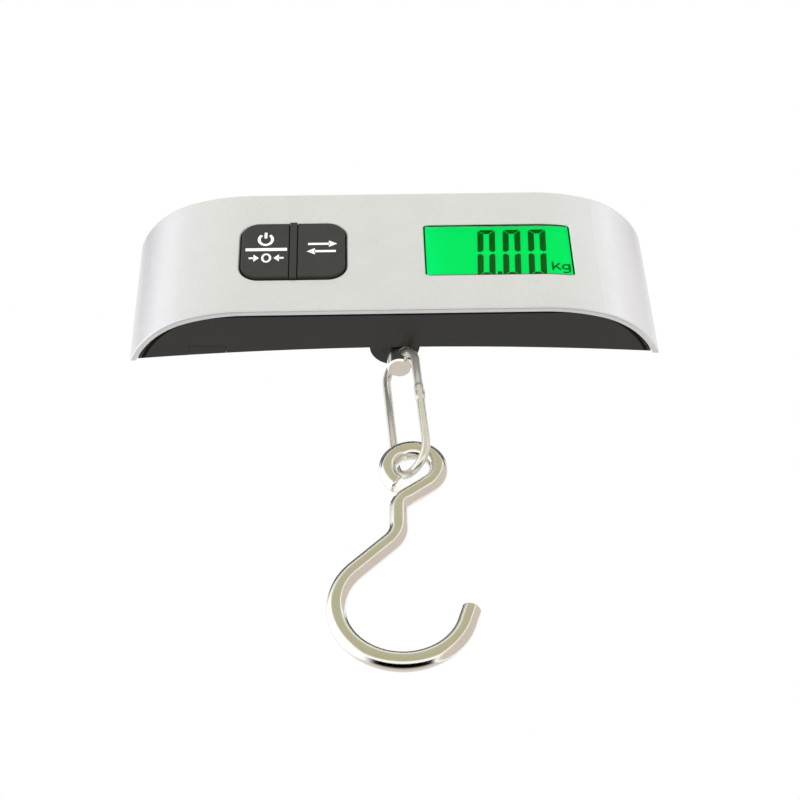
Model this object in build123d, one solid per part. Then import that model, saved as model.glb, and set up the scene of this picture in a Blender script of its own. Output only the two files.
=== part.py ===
from build123d import *
import math
import os

# Digital luggage scale: a hand-held body with a hook hanging under it.
# Millimetres.  +X runs along the body, +Z up in use, -Y is the display side.
# The origin is the middle of the grip: half length, half height, on the line
# that joins the two sharp rear corners.

# ---------------------------------------------------------------- body size
LENGTH = 128.4            # over the two sharp rear corners
HEIGHT = 42.8             # bottom face to top face
DEPTH = 15.8              # rear corner line to the flat of the front
FLAT_HALF = 35.4          # half length of the flat middle of the front
SHOULDER_R = 47.0         # first, gentle bend beyond the flat
SHOULDER_TURN = 18.1      # degrees turned by the gentle bend
END_R = 22.8              # tighter bend down to the rear corner
END_TURN = 65.0           # runs on behind the corner, where the back cuts it off
BACK_SAG = 2.7            # hollow of the back at half length

COVER_T = 1.4             # silver front cover
SEAM = 0.35               # gap between cover and housing all round
RECESS = 0.25             # housing end walls sit this far inside the cover's rims
WALL = 1.8                # housing walls
EDGE_BREAK = 0.5          # rounding of the cover's rims
BACK_BEVEL = 0.4          # bevel between the end walls and the hollow back
BOTTOM = -HEIGHT / 2
BIG = 80.0
NOTCHES = [(-25.6, -14.8), (13.9, 24.9)]    # snap notches along each long rim
NOTCH_DEEP = 0.5
NOTCH_GAP = 0.25

# ---------------------------------------------------------------- front face
WINDOW_X = (7.5, 43.9)
WINDOW_Z = (-9.5, 9.2)
WINDOW_R = 1.2
KEYS_X = (-37.5, -11.3)
KEYS_Z = (-10.5, 10.1)
KEYS_R = 4.8
KEY_RIM = 0.3             # width of the sunk surround
KEY_SUNK = 0.5            # surround's front below the cover's surface
KEY_GAP = 0.15
KEY_RIB = 1.8             # fixed rib between the two keys
KEY_PROUD = 0.6
KEY_ROUND = 0.4
KEY_FLANGE = (-13.6, -12.9)    # y of the flange that keeps a key in
KEY_STEM_END = -12.6
SURROUND_BACK = -13.65
OPENING_BEVEL = 0.25      # bevel round the window and the key opening

# ------------------------------------------------- layers behind the front, y
LENS_SUNK = 0.4           # lens follows the cover, this far behind its surface
LENS_T = 1.0
LCD_Y = (-12.0, -10.9)
LCD_X = (4.5, 46.9)
LCD_Z = (-12.0, 13.2)
GUIDE_Y = (-10.85, -9.95)
BOARD_Y = (-9.8, -8.8)
CELL_Y = (-8.3, -4.8)     # load cell
CELL_MID = 2.0            # height of the load cell's centre line
CELL_HALF = 6.0
CELL_X = (-6.0, 44.0)
CELL_SCREWS_X = (33.0, 40.0)
CELL_SCREW_END = -2.9
GAUGE_X = (12.5, 23.5)    # strain gauges, over the load cell's two round holes
GAUGE_T = 0.2
BRACKET_T = 1.6
BRACKET_SCREWS_Z = (-2.2, 6.2)

# ---------------------------------------------------------------- load path
ROD_X = 1.0               # vertical axis of the load rod
ROD_Y = 0.6
ROD_R = 3.0
ROD_TIP = 3.5             # rod stands out this far below the bottom face
HOLE_R = 1.95             # cross hole that the link passes through
HOLE_DROP = 0.35          # cross hole centre below the bottom face
HOLE_Z = BOTTOM - HOLE_DROP
WASHER_R = 3.6
WASHER_T = 0.6
NUT_CORNER = 3.55
NUT_T = 2.9
BOSS_R = 6.1
BOSS_WALL = 1.4
BOSS_LIFT = 4.2           # boss stops this far above the bottom face
BOSS_TOP = 11.0
SEAT_H = 3.0              # thickness of the bushing's seat
BUSH_R = 4.3
ROD_CLEAR = 0.05
FIT = 0.02                # clearance of screws, plugs and inserts that stay put
THREAD_R = 2.0
EYE_Z = (1.0, 3.6)        # bracket's eye plate round the rod's thread

LINK_TURN = -50.0         # link plane about the rod axis, seen from above
LINK_LEAN = 3.5           # degrees that the link leans towards +X
LINK_WIRE_R = 1.05
LINK_HALF = 5.35          # half width between the wire centres
LINK_LENGTH = 36.9        # over the wire centres, top to bottom
LINK_TOP = -0.25          # top wire centre below the bottom face
WELD_SWELL = 0.3

HOOK_WIRE_R = 2.2
EYE_R = 5.8               # centre line radius of the hook's eye
EYE_START = 234.0         # cut end of the wire, degrees round the eye
EYE_END = -53.0           # where the wire leaves the eye
EYE_X = 3.25
EYE_Z_MID = BOTTOM - 36.1
# Runs of the neck from eye to bow: (length, 0) is straight, (radius, degrees) is a bend.
NECK = [(6.6, 0), (4.6, 52), (4.8, 0), (6.5, -44), (11.1, 0)]
HOOK_R = 14.25            # centre line radius of the hook's bow
BOW_TURN = 207.0
TIP_RUN = 4.0
TIP_ROUND = 0.6

# ---------------------------------------------------------------- battery bay
BAY_X = -44.5
COIN_R = 10.0
COIN_Y = (-7.1, -3.9)
DOOR_X = (-57.0, -32.0)
DOOR_TOP = 12.0
DOOR_GAP = 0.2
TAB_GAP = 0.1
DOOR_LOW = BOTTOM + RECESS + WALL
DOOR_HOOK_HALF = 2.0      # half width of the door's two hooks
DOOR_HOOK_IN = 2.7        # hooks' centres inside the door's sides
TAB_X = (-49.6, -40.8)    # latch tab on the bottom face
TAB_DEEP = 4.2

SCREWS = [(-27.0, 15.8), (-27.0, -15.8), (52.0, 11.5), (52.0, -11.5)]
SCREW_R = 1.1
SCREW_HEAD_R = 2.0
POST_R = 2.3
SCREW_TIP = -10.6
HEAD_SINK = 0.4           # screw heads below the back surface
HEAD_T = 1.5
POST_MEET = -7.0          # cover posts meet housing posts at this y


def box(x, y, z):
    """Box from three (low, high) pairs."""
    size = (x[1] - x[0], y[1] - y[0], z[1] - z[0])
    mid = ((x[0] + x[1]) / 2, (y[0] + y[1]) / 2, (z[0] + z[1]) / 2)
    return Pos(*mid) * Box(*size)


def rod_y(x, z, r, y0, y1):
    """Cylinder along Y from y0 to y1."""
    return Pos(x, (y0 + y1) / 2, z) * Rot(90, 0, 0) * Cylinder(r, abs(y1 - y0))


def rod_z(x, y, r, z0, z1):
    """Cylinder along Z from z0 to z1."""
    return Pos(x, y, (z0 + z1) / 2) * Cylinder(r, z1 - z0)


def plate(x, z, y, r):
    """Rounded rectangle in the XZ plane, given (low, high) pairs."""
    outline = RectangleRounded(x[1] - x[0], z[1] - z[0], r)
    mid = Pos((x[0] + x[1]) / 2, y[0], (z[0] + z[1]) / 2)
    # The sketch's normal is turned to +Y.
    return extrude(mid * Rot(-90, 0, 0) * outline, y[1] - y[0])


def front_outline(inset):
    """Face in plan, bounded in front by the body outline moved inwards."""
    y = -DEPTH + inset
    flat = Line((0, y), (FLAT_HALF, y))
    first = JernArc(flat @ 1, (1, 0), SHOULDER_R - inset, SHOULDER_TURN)
    second = JernArc(first @ 1, first % 1, END_R - inset, END_TURN)
    tail = Line(second @ 1, (second @ 1) + Vector(0, 20))
    close = Polyline(tail @ 1, (0, (tail @ 1).Y), (0, y))
    half = make_face(Curve() + [flat, first, second, tail, close])
    return half + mirror(half, Plane.YZ)


def back_y(x):
    """Y of the hollow back surface at x."""
    return -BACK_SAG * (1 - (2 * x / LENGTH) ** 2)


def back_cut(shift):
    """Everything behind the hollow back, its surface moved forward by shift."""
    radius = ((LENGTH / 2) ** 2 + BACK_SAG ** 2) / (2 * BACK_SAG)
    return rod_z(0, radius - BACK_SAG - shift, radius, -BIG, BIG)


def slab(inset, end):
    """The front outline made solid, with its ends moved in."""
    return Pos(0, 0, BOTTOM + end) * extrude(front_outline(inset), HEIGHT - 2 * end)


def body_solid(inset, end, back_shift):
    """D-section solid of the body, moved inwards on every side."""
    return slab(inset, end) - back_cut(back_shift)


def grow(pair, by):
    """Move both ends of a (low, high) pair outwards."""
    return (pair[0] - by, pair[1] + by)


# ------------------------------------------------------------------ casing
def front_cover():
    shell = body_solid(0, 0, 0) - slab(COVER_T, -1)
    rims = [e for e in shell.edges() if abs(abs(e.center().Z) - HEIGHT / 2) < 0.01 and on_outline(e)]
    shell = fillet(rims, EDGE_BREAK)
    inner = DEPTH - COVER_T
    for side in (-1, 1):
        for low, high in NOTCHES:
            z = sorted((side * (HEIGHT / 2 - RECESS), side * (HEIGHT / 2 - WALL)))
            shell += box((low + NOTCH_GAP, high - NOTCH_GAP), (-inner - 0.4, -inner + NOTCH_DEEP), z)
    core = body_solid(COVER_T / 2, 1, 0)
    for x, z in SCREWS:
        shell += rod_y(x, z, POST_R, -DEPTH, POST_MEET) & core
    shell -= plate(WINDOW_X, WINDOW_Z, (-DEPTH - 1, -DEPTH + 4), WINDOW_R)
    shell -= plate(KEYS_X, KEYS_Z, (-DEPTH - 1, -DEPTH + 4), KEYS_R)
    for x, z in ((WINDOW_X, WINDOW_Z), (KEYS_X, KEYS_Z)):
        edges = [e for e in shell.edges() if within(e, grow(x, 0.1), grow(z, 0.1)) and on_outline(e)]
        shell = chamfer(edges, OPENING_BEVEL)
    for x, z in SCREWS:
        shell -= rod_y(x, z, SCREW_R + FIT, SCREW_TIP - 0.4, POST_MEET + 1)
    return shell


def within(edge, x, z):
    """True if the middle of an edge lies inside a rectangle seen from the front."""
    point = edge @ 0.5
    return x[0] < point.X < x[1] and z[0] < point.Z < z[1]


def on_outline(edge):
    """True for an edge of the outermost surface of the cover."""
    outer = front_outline(0).edges()
    point = edge @ 0.5
    return min(e.distance_to(Vector(point.X, point.Y, 0)) for e in outer) < 0.01


def housing_blank():
    """Solid that fills the cover, its two rims at the hollow back bevelled."""
    solid = body_solid(COVER_T + SEAM, RECESS, 0)
    end = HEIGHT / 2 - RECESS
    rims = [e for e in solid.edges() if abs(abs(e.center().Z) - end) < 0.01 and (e @ 0.5).Y > -BACK_SAG - 0.1]
    return chamfer(rims, BACK_BEVEL)


def rear_housing():
    solid = housing_blank()
    cavity = slab(-1, RECESS + WALL) - back_cut(WALL)
    solid -= cavity
    # Bulge that holds the load rod, with a domed top.
    low = BOTTOM + BOSS_LIFT
    bulge = rod_z(0, ROD_Y, BOSS_R, low, BOSS_TOP) + Pos(0, ROD_Y, BOSS_TOP) * Sphere(BOSS_R)
    seat = box((-7, 7), (-6.2, -2), (BOTTOM + 1, low + SEAT_H + 1))
    solid += bulge + (seat - back_cut(0.5))
    # Posts for the case screws, and the load cell's pad.
    keep = body_solid(COVER_T + SEAM, RECESS, 0.3)
    for x, z in SCREWS:
        solid += rod_y(x, z, POST_R + 0.6, POST_MEET, 5) & keep
    solid += box((29.5, 44), (CELL_Y[1], 5), (-2.5, 6.5)) & keep
    # Room inside the bulge, and the bushing's seat below it.
    inside = BOSS_R - BOSS_WALL
    hollow = rod_z(0, ROD_Y, inside, low + SEAT_H, BOSS_TOP) + Pos(0, ROD_Y, BOSS_TOP) * Sphere(inside)
    solid -= hollow
    solid -= box((-inside, inside), (-7, ROD_Y), (low + SEAT_H + 1, BOSS_TOP))
    solid -= rod_z(ROD_X, ROD_Y, BUSH_R + FIT, low - 1, low + SEAT_H + 1)
    for x, z in SCREWS:
        solid -= rod_y(x, z, SCREW_R + FIT, POST_MEET - 1, 5)
        solid -= rod_y(x, z, SCREW_HEAD_R + 0.15, back_y(x) - HEAD_SINK - HEAD_T, 5)
    for x in CELL_SCREWS_X:
        solid -= rod_y(x, CELL_MID, SCREW_R + FIT, CELL_Y[1] - 1, CELL_SCREW_END)
    # Battery doorway, its latch notch, and the snap notches of the cover.
    solid -= box(grow(DOOR_X, DOOR_GAP), (-6, 5), (DOOR_LOW - DOOR_GAP, DOOR_TOP + DOOR_GAP))
    solid -= box(grow(TAB_X, TAB_GAP), (-TAB_DEEP - TAB_GAP, 5), (BOTTOM - 1, DOOR_LOW + 1))
    inner = DEPTH - COVER_T
    for side in (-1, 1):
        for pair in NOTCHES:
            z = sorted((side * (HEIGHT / 2 + 1), side * (HEIGHT / 2 - WALL - 1)))
            solid -= box(pair, (-inner - 1, -inner + NOTCH_DEEP + NOTCH_GAP), z)
    return solid




def battery_door():
    skin = housing_blank() & back_cut(WALL)
    panel = skin & box(DOOR_X, (-8, 5), (DOOR_LOW, DOOR_TOP))
    tab = housing_blank() & box(TAB_X, (-TAB_DEEP, 5), (BOTTOM, DOOR_LOW + 1))
    door = panel + tab
    # Two hooks at the top reach behind the wall.
    for x in grow(DOOR_X, -DOOR_HOOK_IN):
        inner = back_y(x) - WALL
        wide = grow((x, x), DOOR_HOOK_HALF)
        door += box(wide, (inner - 1.6, inner + 0.5), (DOOR_TOP - 2, DOOR_TOP))
        door += box(wide, (inner - 1.6, inner - 0.35), (DOOR_TOP - 2, DOOR_TOP + 1.6))
    return door


def battery_holder():
    y0 = COIN_Y[0] - 0.5
    holder = rod_y(BAY_X, 0, COIN_R + 1.2, y0 - 0.7, COIN_Y[1] - 0.1)
    holder -= rod_y(BAY_X, 0, COIN_R + 0.3, y0, 0)
    holder -= rod_y(BAY_X, 0, 3.0, y0 - 2, 0)
    side = BAY_X + COIN_R
    holder -= box((side - 0.2, side + 0.5), (y0 - 2, 0), (-2.2, 2.2))
    return holder


def coin_cell():
    can = rod_y(BAY_X, 0, COIN_R, COIN_Y[0] + 0.5, COIN_Y[1])
    can = fillet(can.edges().group_by(Axis.Y)[-1], 0.3)
    return can + rod_y(BAY_X, 0, COIN_R - 1.4, COIN_Y[0], COIN_Y[0] + 1)


def battery_negative_contact():
    y0 = COIN_Y[0] - 0.5
    strip = box((BAY_X - 2, BAY_X + 2), (y0, COIN_Y[0] - FIT), (-5, 5))
    return strip + box((BAY_X - 1, BAY_X + 1), (BOARD_Y[1] + FIT, y0 + 0.1), (-1, 1))


def battery_positive_contact():
    side = BAY_X + COIN_R
    return box((side + FIT, side + 0.27), (BOARD_Y[1] + FIT, COIN_Y[1] - 0.4), (-2, 2))


# ------------------------------------------------------------------ display
def display_lens():
    sheet = slab(LENS_SUNK, 5) - slab(LENS_SUNK + LENS_T, 4)
    return sheet & plate(grow(WINDOW_X, -0.05), grow(WINDOW_Z, -0.05), (-DEPTH, -13), WINDOW_R - 0.05)


def lcd_glass():
    return box(LCD_X, LCD_Y, LCD_Z)


def lcd_backlight():
    return box(grow(LCD_X, -1), GUIDE_Y, grow(LCD_Z, -2))


def backlight_leds():
    x0 = LCD_X[1] - 0.9
    y = grow(GUIDE_Y, -0.2)
    return Compound([box((x0, x0 + 0.8), y, (z - 1.6, z + 1.6)) for z in (-6.4, 3.6)])


def lcd_frame():
    y = (LCD_Y[0] + 0.6, BOARD_Y[0])
    return box(grow(LCD_X, 1.3), y, grow(LCD_Z, 1.3)) - box(grow(LCD_X, 0.1), (-20, 0), grow(LCD_Z, 0.1))


def zebra_strips():
    y = (LCD_Y[1], BOARD_Y[0])
    low = box(grow(LCD_X, -1), y, (LCD_Z[0] + 0.3, LCD_Z[0] + 1.7))
    high = box(grow(LCD_X, -1), y, (LCD_Z[1] - 1.7, LCD_Z[1] - 0.3))
    return Compound([low, high])


# -------------------------------------------------------------- electronics
def circuit_board():
    board = box((-47, 48.5), BOARD_Y, (-13.2, 13.2))
    board += box((2, 48.5), BOARD_Y, (-15, -13.2))
    return board


def controller_chip():
    return box((-24, -16), (BOARD_Y[1], BOARD_Y[1] + 1.2), (-4, 4))


def converter_chip():
    return box((-10.5, -6.5), (BOARD_Y[1], BOARD_Y[1] + 0.4), (-9, -6))


def board_parts():
    y = (BOARD_Y[1], BOARD_Y[1] + 0.9)
    small = [box((x, x + 1.6), y, (z, z + 0.8)) for x in (-31, -14, 4, 9, 14) for z in (10.5, -8.6)]
    small.append(box((-30, -26.5), (BOARD_Y[1], BOARD_Y[1] + 1.4), (-7, 1)))
    return Compound(small)


def key_centre(side):
    """Middle of one key: side -1 is the left key, +1 the right."""
    x = (KEYS_X[0] + KEYS_X[1]) / 2 + side * ((KEYS_X[1] - KEYS_X[0]) / 4 + KEY_RIB / 4)
    return x, (KEYS_Z[0] + KEYS_Z[1]) / 2


def tact_switch(side):
    x, z = key_centre(side)
    can = box(grow((x, x), 2.6), (BOARD_Y[0] - 1.5, BOARD_Y[0]), grow((z, z), 2.6))
    return can + rod_y(x, z, 1.5, BOARD_Y[0] - 2.2, BOARD_Y[0] - 1.4)


def key_surround():
    frame = plate(grow(KEYS_X, -FIT), grow(KEYS_Z, -FIT), (-DEPTH + KEY_SUNK, SURROUND_BACK), KEYS_R - FIT)
    flange = (SURROUND_BACK - 0.6, SURROUND_BACK)
    frame += plate(grow(KEYS_X, 1.2), grow(KEYS_Z, 1.2), flange, KEYS_R + 1.2)
    frame -= plate(grow(KEYS_X, -KEY_RIM), grow(KEYS_Z, -KEY_RIM), (-20, -10), KEYS_R - KEY_RIM)
    middle = (KEYS_X[0] + KEYS_X[1]) / 2
    rib = box(grow((middle, middle), KEY_RIB / 2), (-DEPTH - KEY_PROUD - 0.05, SURROUND_BACK), grow(KEYS_Z, -0.1))
    rib = fillet(rib.edges().group_by(Axis.Y)[0], 0.3)
    return frame + rib


def key(side):
    edge = KEY_RIM + KEY_GAP
    cap = plate(grow(KEYS_X, -edge), grow(KEYS_Z, -edge), (-DEPTH - KEY_PROUD, KEY_FLANGE[1]), KEYS_R - edge)
    cap += plate(grow(KEYS_X, 0.3), grow(KEYS_Z, 0.3), KEY_FLANGE, KEYS_R + 0.3)
    middle = (KEYS_X[0] + KEYS_X[1]) / 2
    half = sorted((middle + side * (KEY_RIB / 2 + KEY_GAP), middle + side * BIG))
    cap &= box(half, (-BIG, 0), (-BIG, BIG))
    rim = cap.edges().group_by(Axis.Y)[0]
    cap = fillet(rim, KEY_ROUND)
    x, z = key_centre(side)
    return cap + rod_y(x, z, 1.6, KEY_FLANGE[0], KEY_STEM_END)


# ---------------------------------------------------------------- load cell
def countersunk(x, z, y0, y1):
    """Screw along Y, its flat head flush with y0 and its end at y1."""
    head = Pos(x, y0 + 0.55, z) * Rot(-90, 0, 0) * Cone(SCREW_R + 1, SCREW_R, 1.1)
    return rod_y(x, z, SCREW_R, y0 + 0.5, y1) + head


def countersink(x, z, y0):
    """Room for a countersunk head and its shank."""
    grown = SCREW_R + FIT
    head = Pos(x, y0 + 0.55, z) * Rot(-90, 0, 0) * Cone(grown + 1, grown, 1.1)
    return rod_y(x, z, grown, y0 + 0.5, 5) + head


def load_cell():
    bar = box(CELL_X, CELL_Y, grow((CELL_MID, CELL_MID), CELL_HALF))
    for x in GAUGE_X:
        bar -= rod_y(x, CELL_MID, CELL_HALF - 1.6, -20, 0)
    bar -= box(GAUGE_X, (-20, 0), grow((CELL_MID, CELL_MID), 1.2))
    for x in CELL_SCREWS_X:
        bar -= countersink(x, CELL_MID, CELL_Y[0])
    for z in BRACKET_SCREWS_Z:
        bar -= countersink(0, z, CELL_Y[0])
    return bar


def load_cell_screws():
    return Compound([countersunk(x, CELL_MID, CELL_Y[0], CELL_SCREW_END - 0.1) for x in CELL_SCREWS_X])


def strain_gauges():
    top = CELL_MID + CELL_HALF
    low = CELL_MID - CELL_HALF
    y = grow(CELL_Y, -0.4)
    pads = []
    for x in GAUGE_X:
        pads.append(box(grow((x, x), 2.4), y, (top, top + GAUGE_T)))
        pads.append(box(grow((x, x), 2.4), y, (low - GAUGE_T, low)))
    return Compound(pads)


def gauge_leads():
    """Thin wires from each gauge round to the back of the board."""
    wires = []
    y = (CELL_Y[0] + CELL_Y[1]) / 2
    for side in (-1, 1):
        start = CELL_MID + side * (CELL_HALF + GAUGE_T)
        turn = start + side * 2.2
        for gauge in GAUGE_X:
            for x in (gauge - 1.3, gauge + 1.3):
                points = [(x, y, start), (x, y, turn), (x, BOARD_Y[1], turn)]
                path = FilletPolyline(*points, radius=1.0)
                wires.append(sweep(Plane(path @ 0, z_dir=path % 0) * Circle(0.3), path))
    return Compound([w.solids()[0] for w in wires])


def load_bracket():
    half = 3.6
    back = CELL_Y[1] + BRACKET_T
    upright = box((-half, half), (CELL_Y[1], back), (-4, 8))
    eye = box((-half, ROD_X + half), (CELL_Y[1], ROD_Y), EYE_Z) + rod_z(ROD_X, ROD_Y, half, *EYE_Z)
    bracket = upright + eye - rod_z(ROD_X, ROD_Y, THREAD_R + ROD_CLEAR, -20, 20)
    for z in BRACKET_SCREWS_Z:
        bracket -= rod_y(0, z, SCREW_R + FIT, -20, 5)
    return bracket


def bracket_screws():
    end = CELL_Y[1] + BRACKET_T
    return Compound([countersunk(0, z, CELL_Y[0], end) for z in BRACKET_SCREWS_Z])


# ------------------------------------------------------------ rod, link, hook
def load_rod():
    shaft = rod_z(ROD_X, ROD_Y, ROD_R, BOTTOM - ROD_TIP, EYE_Z[0] - 0.25)
    shaft = chamfer(shaft.edges().group_by(Axis.Z)[0], 0.4)
    stud = rod_z(ROD_X, ROD_Y, THREAD_R, EYE_Z[0] - 1, EYE_Z[1] + WASHER_T + NUT_T + 1.2)
    stud = chamfer(stud.edges().group_by(Axis.Z)[-1], 0.3)
    hole = Pos(ROD_X, ROD_Y, HOLE_Z) * Rot(0, 0, LINK_TURN) * Rot(0, 90, 0) * Cylinder(HOLE_R, 20)
    return shaft + stud - hole


def rod_washer():
    z = (EYE_Z[1], EYE_Z[1] + WASHER_T)
    return rod_z(ROD_X, ROD_Y, WASHER_R, *z) - rod_z(ROD_X, ROD_Y, THREAD_R + ROD_CLEAR, -20, 20)


def rod_nut():
    low = EYE_Z[1] + WASHER_T + ROD_CLEAR
    nut = Pos(ROD_X, ROD_Y, low) * extrude(RegularPolygon(NUT_CORNER, 6), NUT_T)
    return nut - rod_z(ROD_X, ROD_Y, THREAD_R + FIT, -20, 20)


def rod_bushing():
    low = BOTTOM + BOSS_LIFT
    ring = rod_z(ROD_X, ROD_Y, BUSH_R, low, low + SEAT_H)
    ring -= rod_z(ROD_X, ROD_Y, ROD_R + ROD_CLEAR, low - 1, low + SEAT_H + 1)
    return ring


def placed_link(shape):
    """Turn and lean a shape drawn in the link's own plane, hung in the rod's hole."""
    turned = Rot(0, LINK_LEAN * -1, 0) * (Rot(0, 0, LINK_TURN) * shape)
    return Pos(ROD_X, ROD_Y, HOLE_Z) * turned


def link():
    top = BOTTOM - LINK_TOP - HOLE_Z
    straight = LINK_LENGTH - 2 * LINK_HALF
    centre = top - LINK_HALF
    right = Line((LINK_HALF, 0, centre), (LINK_HALF, 0, centre - straight))
    low = ThreePointArc(right @ 1, (0, 0, top - LINK_LENGTH), (-LINK_HALF, 0, centre - straight))
    left = Line(low @ 1, (-LINK_HALF, 0, centre))
    high = ThreePointArc(left @ 1, (0, 0, top), right @ 0)
    ring = sweep(Plane(right @ 0, z_dir=right % 0) * Circle(LINK_WIRE_R), Wire([right, low, left, high]))
    weld = rod_z(LINK_HALF, 0, LINK_WIRE_R + WELD_SWELL, centre - 13.3, centre - 8.5)
    weld = chamfer(weld.edges().filter_by(GeomType.CIRCLE), WELD_SWELL - 0.05, 1.2)
    return placed_link(ring + weld)


def hook_path():
    """Centre line of the hook, from the cut end of its eye to the tip of its bow."""
    plane = Plane((EYE_X, ROD_Y, EYE_Z_MID), x_dir=(1, 0, 0), z_dir=(0, -1, 0))
    start = math.radians(EYE_START)
    first = JernArc((EYE_R * math.cos(start), EYE_R * math.sin(start)),
                    (math.sin(start), -math.cos(start)), EYE_R, EYE_END - EYE_START)
    runs = [first]
    for size, turn in NECK:
        at = runs[-1] @ 1
        way = runs[-1] % 1
        runs.append(JernArc(at, way, size, turn) if turn else Line(at, at + way * size))
    runs.append(JernArc(runs[-1] @ 1, runs[-1] % 1, HOOK_R, BOW_TURN))
    runs.append(Line(runs[-1] @ 1, (runs[-1] @ 1) + (runs[-1] % 1) * TIP_RUN))
    return plane.location * Wire(runs)


def hook():
    path = hook_path()
    wire = sweep(Plane(path @ 0, z_dir=path % 0) * Circle(HOOK_WIRE_R), path)
    ends = wire.faces().filter_by(GeomType.PLANE).edges()
    return fillet(ends, TIP_ROUND)


# ---------------------------------------------------------------- fasteners
def case_screws():
    screws = []
    for x, z in SCREWS:
        head = back_y(x) - HEAD_SINK
        screw = rod_y(x, z, SCREW_HEAD_R, head - HEAD_T, head)
        slots = box(grow((x, x), 1.2), (head - 0.7, head + 1), grow((z, z), 0.25))
        slots += box(grow((x, x), 0.25), (head - 0.7, head + 1), grow((z, z), 1.2))
        screws.append(screw + rod_y(x, z, SCREW_R, SCREW_TIP, head - 1) - slots)
    return Compound(screws)


PARTS = {
    "front_cover": front_cover,
    "rear_housing": rear_housing,
    "battery_door": battery_door,
    "battery_holder": battery_holder,
    "coin_cell": coin_cell,
    "battery_negative_contact": battery_negative_contact,
    "battery_positive_contact": battery_positive_contact,
    "display_lens": display_lens,
    "lcd_glass": lcd_glass,
    "lcd_backlight": lcd_backlight,
    "backlight_leds": backlight_leds,
    "lcd_frame": lcd_frame,
    "zebra_strips": zebra_strips,
    "circuit_board": circuit_board,
    "controller_chip": controller_chip,
    "converter_chip": converter_chip,
    "board_parts": board_parts,
    "power_switch": lambda: tact_switch(-1),
    "unit_switch": lambda: tact_switch(1),
    "key_surround": key_surround,
    "power_key": lambda: key(-1),
    "unit_key": lambda: key(1),
    "load_cell": load_cell,
    "load_cell_screws": load_cell_screws,
    "strain_gauges": strain_gauges,
    "gauge_leads": gauge_leads,
    "load_bracket": load_bracket,
    "bracket_screws": bracket_screws,
    "load_rod": load_rod,
    "rod_washer": rod_washer,
    "rod_nut": rod_nut,
    "rod_bushing": rod_bushing,
    "link": link,
    "hook": hook,
    "case_screws": case_screws,
}

os.makedirs("parts", exist_ok=True)
for name, make in PARTS.items():
    shape = make()
    export_step(shape, os.path.join("parts", name + ".step"))
    print(name, round(shape.volume, 1))
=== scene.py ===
"""Looks of the digital luggage scale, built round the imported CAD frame.

The row frame: +X along the body to the display end, +Z up with the hook hanging
towards -Z, -Y the display side.  Blender works in metres, so sizes given here in
millimetres are multiplied by MM.
"""

import math

import bpy
from mathutils import Matrix, Vector


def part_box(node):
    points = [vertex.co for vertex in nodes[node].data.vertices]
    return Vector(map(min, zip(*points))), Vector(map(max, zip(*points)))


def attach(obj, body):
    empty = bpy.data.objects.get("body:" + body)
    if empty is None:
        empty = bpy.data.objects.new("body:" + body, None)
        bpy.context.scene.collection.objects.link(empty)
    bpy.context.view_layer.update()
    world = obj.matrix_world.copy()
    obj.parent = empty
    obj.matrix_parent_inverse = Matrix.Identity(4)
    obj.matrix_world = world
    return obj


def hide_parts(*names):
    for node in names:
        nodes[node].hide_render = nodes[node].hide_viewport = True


MM = 0.001

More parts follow.
